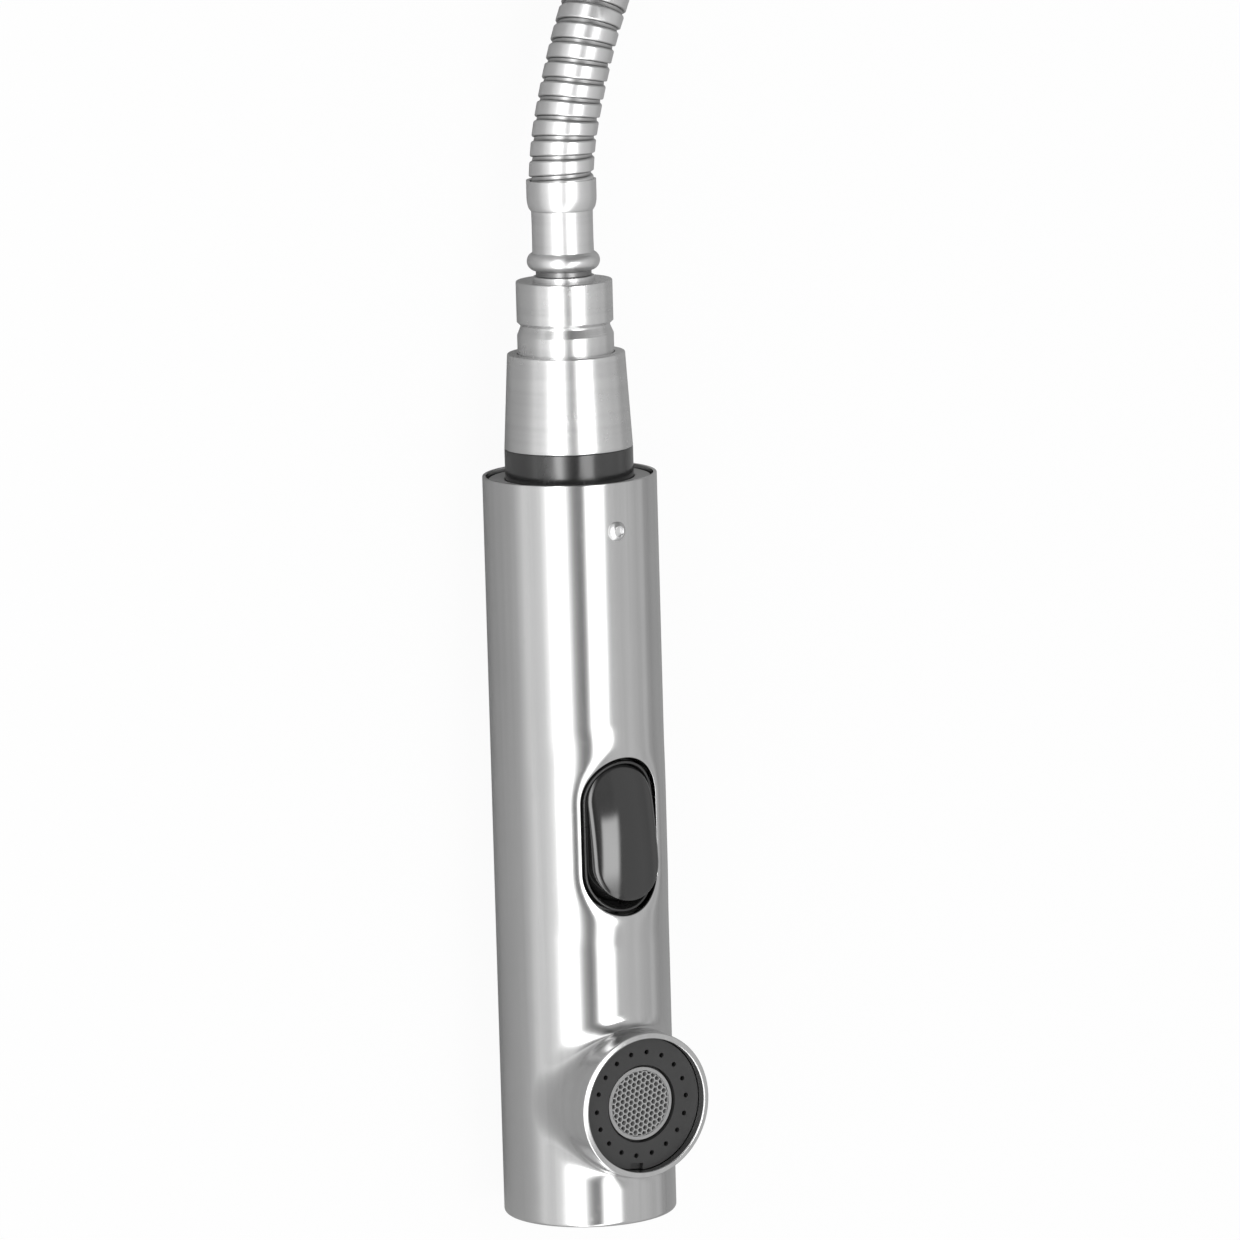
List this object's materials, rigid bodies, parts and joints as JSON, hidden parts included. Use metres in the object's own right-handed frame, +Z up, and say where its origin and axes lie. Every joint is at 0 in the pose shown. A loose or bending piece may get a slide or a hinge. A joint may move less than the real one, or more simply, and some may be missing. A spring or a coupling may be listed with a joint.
{
  "type": "handheld bath sprayer",
  "caption": "Steel barrel hand sprayer with a side outlet, a rocker that switches between stream and spray, and a swivel hose with its supply nut.",
  "frame": {"origin": "on the surface it lies on, under the middle of the handset's length (closed end to hose nut)", "axes": "+Y along the barrel towards the hose, +Z up, the way the outlet and the rocker face, +X to the right seen from the closed end with the outlet up"},
  "size_m": [0.106, 0.5131, 0.0692],
  "materials": {
    "brushed_steel": "fine lengthwise brushing under a soft shine",
    "turned_steel": "turned, bright satin",
    "polished_steel": "polished",
    "hose_steel": "bright wound strip",
    "spring_steel": "drawn wire and fine mesh",
    "brass": "machined",
    "gloss_black": "gloss, moulded",
    "satin_black": "satin, moulded",
    "charcoal": "fine matt grain",
    "grey_plastic": "moulded acetal",
    "comb_grey": "translucent light grey",
    "disc_grey": "dull grey",
    "white_plastic": "moulded acetal",
    "rubber": "matt",
    "strap_black": "woven strap"
  },
  "bodies": {
    "hose_assembly": {"hose_coil": "hose_steel", "hose_lead": "hose_steel", "hose_tail": "hose_steel", "coil_tie": "strap_black", "swivel_fitting": "turned_steel", "swivel_o_ring": "rubber", "near_ferrule": "polished_steel", "far_ferrule": "polished_steel", "far_fitting": "turned_steel"},
    "supply_nut_body": {"supply_nut": "turned_steel", "supply_washer": "rubber"},
    "handset": {"outer_tube": "brushed_steel", "base_cap": "brushed_steel", "spray_body": "charcoal", "spray_face": "charcoal", "face_seal": "rubber", "aerator_washer": "rubber", "aerator_housing": "grey_plastic", "aerator_screens": "spring_steel", "aerator_honeycomb": "comb_grey", "valve_body": "grey_plastic", "body_seal": "rubber", "transfer_seals": "rubber", "button_bezel": "satin_black", "rocker_pin": "polished_steel", "inlet_body": "satin_black", "rim_seal": "rubber", "end_disc": "disc_grey", "retaining_screw": "polished_steel", "cone_sleeve": "brushed_steel", "connector_nut": "turned_steel", "check_valve_cage": "white_plastic", "check_valve_spring": "spring_steel", "inlet_strainer": "spring_steel", "hose_washer": "rubber"},
    "rocker": {"mode_rocker": "gloss_black"},
    "spool": {"diverter_spool": "brass", "spool_seals": "rubber"},
    "poppet": {"check_valve_poppet": "white_plastic"}
  },
  "joints": [
    {"name": "hose_swivel", "type": "hinge", "parent": "hose_assembly", "child": "handset", "pos_m": [0, 0.1, 0.019], "axis": [0, 1, 0], "continuous": true},
    {"name": "rocker_tilt", "type": "hinge", "parent": "handset", "child": "rocker", "pos_m": [0, -0.017, 0.0312], "axis": [1, 0, 0], "range_deg": [0, 16.6]},
    {"name": "spool_slide", "type": "slide", "parent": "handset", "child": "spool", "axis": [0, 1, 0], "range_m": [0, 0.00294]},
    {"name": "check_slide", "type": "slide", "parent": "handset", "child": "poppet", "axis": [0, -1, 0], "range_m": [0, 0.003], "stiffness_N_per_m": 150, "springref_m": -0.003, "deforming": ["check_valve_spring"]},
    {"name": "supply_nut_spin", "type": "hinge", "parent": "hose_assembly", "child": "supply_nut_body", "pos_m": [-0.0429, 0.2414, 0.0562], "axis": [0, -1, 0], "continuous": true}
  ],
  "couplings": [
    {"joint": "rocker_tilt", "follows": "spool_slide", "rad_per_m": 98.38}
  ]
}
